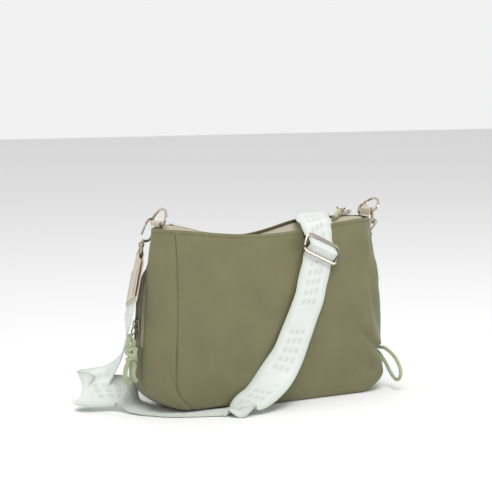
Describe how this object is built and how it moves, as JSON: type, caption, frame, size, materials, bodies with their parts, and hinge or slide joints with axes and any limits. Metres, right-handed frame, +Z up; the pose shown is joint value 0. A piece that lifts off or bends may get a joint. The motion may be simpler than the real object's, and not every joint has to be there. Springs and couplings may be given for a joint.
{
  "type": "crossbody purse",
  "caption": "Small olive fabric crossbody purse with a curved top zip, side zip with knotted cord pull, snap clasps, leather strap ends and pale webbing strap with buckle.",
  "frame": {"origin": "on the floor under the middle of the bag, at the centre of the flat base", "axes": "+X along the bag towards its right end, +Y towards the plain front panel (the panel the strap lies across faces -Y), +Z up"},
  "size_m": [0.3474, 0.1521, 0.2011],
  "materials": {
    "olive_fabric": "matt coated woven fabric",
    "lining_fabric": "thin matt lining",
    "zip_tape": "woven tape",
    "zip_coil": "moulded coil",
    "nickel": "pale champagne nickel plate",
    "beige_leather": "smooth, matt",
    "webbing": "woven webbing",
    "cord": "braided round cord"
  },
  "bodies": {
    "bag": {"back_panel": "olive_fabric", "left_side_panel": "olive_fabric", "left_far_side_panel": "olive_fabric", "right_side_panel": "olive_fabric", "front_panel": "olive_fabric", "left_end_lower": "olive_fabric", "left_end_upper": "olive_fabric", "bottom_panel": "olive_fabric", "main_lining": "lining_fabric", "side_pocket_lining": "lining_fabric", "top_tape_back": "zip_tape", "top_tape_front": "zip_tape", "side_tape_near": "zip_tape", "side_tape_far": "zip_tape", "top_zip_coil": "zip_coil", "side_zip_coil": "zip_coil", "clasp_loop_left": "nickel", "clasp_loop_right": "nickel", "buckle_frame": "nickel", "buckle_bar": "nickel", "tab_left": "beige_leather", "tab_right": "beige_leather", "leather_end_left": "beige_leather", "leather_end_right": "beige_leather", "strap_webbing": "webbing", "strap_fold": "webbing", "drawcord_loop": "cord"},
    "top_slider": {"top_zip_slider": "nickel"},
    "top_pull": {"top_zip_puller": "nickel", "top_zip_cord_pull": "cord"},
    "side_slider": {"side_zip_slider": "nickel"},
    "side_pull": {"side_zip_puller": "nickel", "side_pull_cord": "cord", "side_pull_knot": "cord", "side_pull_loop_a": "cord", "side_pull_loop_b": "cord"},
    "ring_left": {"ring_left": "nickel"},
    "ring_right": {"ring_right": "nickel"},
    "hook_left": {"clasp_hook_left": "nickel"},
    "gate_left": {"clasp_gate_left": "nickel"},
    "hook_right": {"clasp_hook_right": "nickel"},
    "gate_right": {"clasp_gate_right": "nickel"}
  },
  "joints": [
    {"name": "top_zip", "type": "hinge", "parent": "bag", "child": "top_slider", "pos_m": [0, 0, 0.4965], "axis": [0, 1, 0], "range_deg": [0, 35], "deforming": ["strap_webbing", "strap_fold", "top_zip_cord_pull"]},
    {"name": "top_pull", "type": "hinge", "parent": "top_slider", "child": "top_pull", "pos_m": [0.10116, 0, 0.1881], "axis": [0, 1, 0], "range_deg": [0, 120]},
    {"name": "side_zip", "type": "slide", "parent": "bag", "child": "side_slider", "axis": [0.0576, 0, 0.9983], "range_m": [-0.014, 0.038], "deforming": ["leather_end_left", "strap_webbing"]},
    {"name": "side_pull", "type": "hinge", "parent": "side_slider", "child": "side_pull", "pos_m": [-0.14223, -0.001, 0.08693], "axis": [0, 1, 0], "range_deg": [-2, 60]},
    {"name": "ring_left_swing", "type": "hinge", "parent": "bag", "child": "ring_left", "pos_m": [-0.117, 0, 0.1855], "axis": [0, 1, 0], "range_deg": [-8, 8]},
    {"name": "ring_right_swing", "type": "hinge", "parent": "bag", "child": "ring_right", "pos_m": [0.131, 0, 0.1884], "axis": [0, 1, 0], "range_deg": [-6, 6]},
    {"name": "swivel_left", "type": "hinge", "parent": "bag", "child": "hook_left", "pos_m": [-0.1295, 0.0101, 0.1645], "axis": [0.5115, 0, 0.8593], "range_deg": [-5, 5]},
    {"name": "swivel_right", "type": "hinge", "parent": "bag", "child": "hook_right", "pos_m": [0.1475, 0.011, 0.174], "axis": [-0.7528, -0.0411, 0.657], "range_deg": [-1.5, 1.5]},
    {"name": "gate_left_spring", "type": "hinge", "parent": "hook_left", "child": "gate_left", "pos_m": [-0.12943, 0.0101, 0.174], "axis": [0, 1, 0], "range_deg": [0, 18], "stiffness_Nm_per_rad": 0.004},
    {"name": "gate_right_spring", "type": "hinge", "parent": "hook_right", "child": "gate_right", "pos_m": [0.13817, 0.01066, 0.17577], "axis": [-0.0309, 0.9992, 0.027], "range_deg": [0, 18], "stiffness_Nm_per_rad": 0.004}
  ]
}
